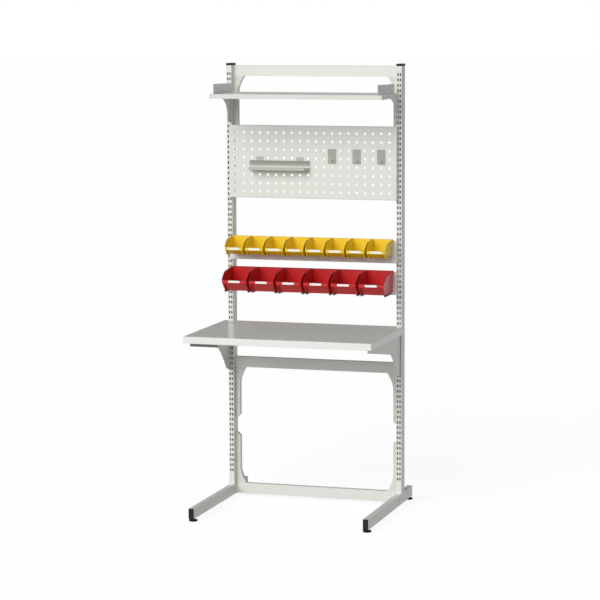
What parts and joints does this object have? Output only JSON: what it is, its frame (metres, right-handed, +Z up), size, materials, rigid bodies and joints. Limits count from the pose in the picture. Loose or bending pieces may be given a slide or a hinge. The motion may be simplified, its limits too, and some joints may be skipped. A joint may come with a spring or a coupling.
{
  "type": "workbench",
  "caption": "Steel workbench with slotted uprights on foot beams, worktop, top shelf, perforated tool panel and rails of hanging storage bins.",
  "frame": {"origin": "on the floor, under the middle of the bounding box in width and depth", "axes": "+Z up, +X to the right and +Y to the back for someone who stands in front of the worktop"},
  "size_m": [0.9, 0.8102, 2.1103],
  "materials": {
    "frame_paint": "powder coated, satin",
    "panel_paint": "powder coated, satin",
    "holder_steel": "grey, satin",
    "black_plastic": "moulded",
    "yellow_plastic": "moulded",
    "red_plastic": "moulded",
    "label_card": "plain card",
    "worktop_laminate": "grey laminate, glossy"
  },
  "bodies": {
    "bench": {"left_upright": "frame_paint", "left_upright_cap": "black_plastic", "left_foot_beam": "frame_paint", "left_front_beam_cap": "black_plastic", "left_rear_beam_cap": "black_plastic", "left_shelf_bracket": "frame_paint", "left_worktop_bracket": "frame_paint", "right_upright": "frame_paint", "right_upright_cap": "black_plastic", "right_foot_beam": "frame_paint", "right_front_beam_cap": "black_plastic", "right_rear_beam_cap": "black_plastic", "right_shelf_bracket": "frame_paint", "right_worktop_bracket": "frame_paint", "top_rail": "frame_paint", "worktop_rail": "frame_paint", "bottom_rail": "frame_paint", "top_shelf": "frame_paint", "perforated_panel": "panel_paint", "yellow_bin_rail": "panel_paint", "red_bin_rail": "panel_paint", "worktop": "worktop_laminate"},
    "yellow_bin_1_body": {"yellow_bin_1": "yellow_plastic", "yellow_bin_label_1": "label_card"},
    "yellow_bin_2_body": {"yellow_bin_2": "yellow_plastic", "yellow_bin_label_2": "label_card"},
    "yellow_bin_3_body": {"yellow_bin_3": "yellow_plastic", "yellow_bin_label_3": "label_card"},
    "yellow_bin_4_body": {"yellow_bin_4": "yellow_plastic", "yellow_bin_label_4": "label_card"},
    "yellow_bin_5_body": {"yellow_bin_5": "yellow_plastic", "yellow_bin_label_5": "label_card"},
    "yellow_bin_6_body": {"yellow_bin_6": "yellow_plastic", "yellow_bin_label_6": "label_card"},
    "yellow_bin_7_body": {"yellow_bin_7": "yellow_plastic", "yellow_bin_label_7": "label_card"},
    "yellow_bin_8_body": {"yellow_bin_8": "yellow_plastic", "yellow_bin_label_8": "label_card"},
    "red_bin_1_body": {"red_bin_1": "red_plastic", "red_bin_label_1": "label_card"},
    "red_bin_2_body": {"red_bin_2": "red_plastic", "red_bin_label_2": "label_card"},
    "red_bin_3_body": {"red_bin_3": "red_plastic", "red_bin_label_3": "label_card"},
    "red_bin_4_body": {"red_bin_4": "red_plastic", "red_bin_label_4": "label_card"},
    "red_bin_5_body": {"red_bin_5": "red_plastic", "red_bin_label_5": "label_card"},
    "red_bin_6_body": {"red_bin_6": "red_plastic", "red_bin_label_6": "label_card"},
    "tool_tray_body": {"tool_tray": "holder_steel"},
    "tool_hook_1_body": {"tool_hook_1": "holder_steel"},
    "tool_hook_2_body": {"tool_hook_2": "holder_steel"},
    "tool_hook_3_body": {"tool_hook_3": "holder_steel"},
    "left_front_levelling_foot_body": {"left_front_levelling_foot": "black_plastic"},
    "left_rear_levelling_foot_body": {"left_rear_levelling_foot": "black_plastic"},
    "right_front_levelling_foot_body": {"right_front_levelling_foot": "black_plastic"},
    "right_rear_levelling_foot_body": {"right_rear_levelling_foot": "black_plastic"}
  },
  "joints": [
    {"name": "yellow_bin_1_lift", "type": "slide", "parent": "bench", "child": "yellow_bin_1_body", "axis": [0, 0, 1], "range_m": [0, 0.09]},
    {"name": "yellow_bin_2_lift", "type": "slide", "parent": "bench", "child": "yellow_bin_2_body", "axis": [0, 0, 1], "range_m": [0, 0.09]},
    {"name": "yellow_bin_3_lift", "type": "slide", "parent": "bench", "child": "yellow_bin_3_body", "axis": [0, 0, 1], "range_m": [0, 0.09]},
    {"name": "yellow_bin_4_lift", "type": "slide", "parent": "bench", "child": "yellow_bin_4_body", "axis": [0, 0, 1], "range_m": [0, 0.09]},
    {"name": "yellow_bin_5_lift", "type": "slide", "parent": "bench", "child": "yellow_bin_5_body", "axis": [0, 0, 1], "range_m": [0, 0.09]},
    {"name": "yellow_bin_6_lift", "type": "slide", "parent": "bench", "child": "yellow_bin_6_body", "axis": [0, 0, 1], "range_m": [0, 0.09]},
    {"name": "yellow_bin_7_lift", "type": "slide", "parent": "bench", "child": "yellow_bin_7_body", "axis": [0, 0, 1], "range_m": [0, 0.09]},
    {"name": "yellow_bin_8_lift", "type": "slide", "parent": "bench", "child": "yellow_bin_8_body", "axis": [0, 0, 1], "range_m": [0, 0.09]},
    {"name": "red_bin_1_lift", "type": "slide", "parent": "bench", "child": "red_bin_1_body", "axis": [0, 0, 1], "range_m": [0, 0.034]},
    {"name": "red_bin_2_lift", "type": "slide", "parent": "bench", "child": "red_bin_2_body", "axis": [0, 0, 1], "range_m": [0, 0.034]},
    {"name": "red_bin_3_lift", "type": "slide", "parent": "bench", "child": "red_bin_3_body", "axis": [0, 0, 1], "range_m": [0, 0.034]},
    {"name": "red_bin_4_lift", "type": "slide", "parent": "bench", "child": "red_bin_4_body", "axis": [0, 0, 1], "range_m": [0, 0.034]},
    {"name": "red_bin_5_lift", "type": "slide", "parent": "bench", "child": "red_bin_5_body", "axis": [0, 0, 1], "range_m": [0, 0.034]},
    {"name": "red_bin_6_lift", "type": "slide", "parent": "bench", "child": "red_bin_6_body", "axis": [0, 0, 1], "range_m": [0, 0.034]},
    {"name": "tool_tray_pull", "type": "slide", "parent": "bench", "child": "tool_tray_body", "axis": [0, -1, 0], "range_m": [0, 0.04]},
    {"name": "tool_hook_1_pull", "type": "slide", "parent": "bench", "child": "tool_hook_1_body", "axis": [0, -1, 0], "range_m": [0, 0.04]},
    {"name": "tool_hook_2_pull", "type": "slide", "parent": "bench", "child": "tool_hook_2_body", "axis": [0, -1, 0], "range_m": [0, 0.04]},
    {"name": "tool_hook_3_pull", "type": "slide", "parent": "bench", "child": "tool_hook_3_body", "axis": [0, -1, 0], "range_m": [0, 0.04]},
    {"name": "left_front_levelling_foot_height", "type": "slide", "parent": "bench", "child": "left_front_levelling_foot_body", "axis": [0, 0, -1], "range_m": [0, 0.015]},
    {"name": "left_rear_levelling_foot_height", "type": "slide", "parent": "bench", "child": "left_rear_levelling_foot_body", "axis": [0, 0, -1], "range_m": [0, 0.015]},
    {"name": "right_front_levelling_foot_height", "type": "slide", "parent": "bench", "child": "right_front_levelling_foot_body", "axis": [0, 0, -1], "range_m": [0, 0.015]},
    {"name": "right_rear_levelling_foot_height", "type": "slide", "parent": "bench", "child": "right_rear_levelling_foot_body", "axis": [0, 0, -1], "range_m": [0, 0.015]}
  ]
}
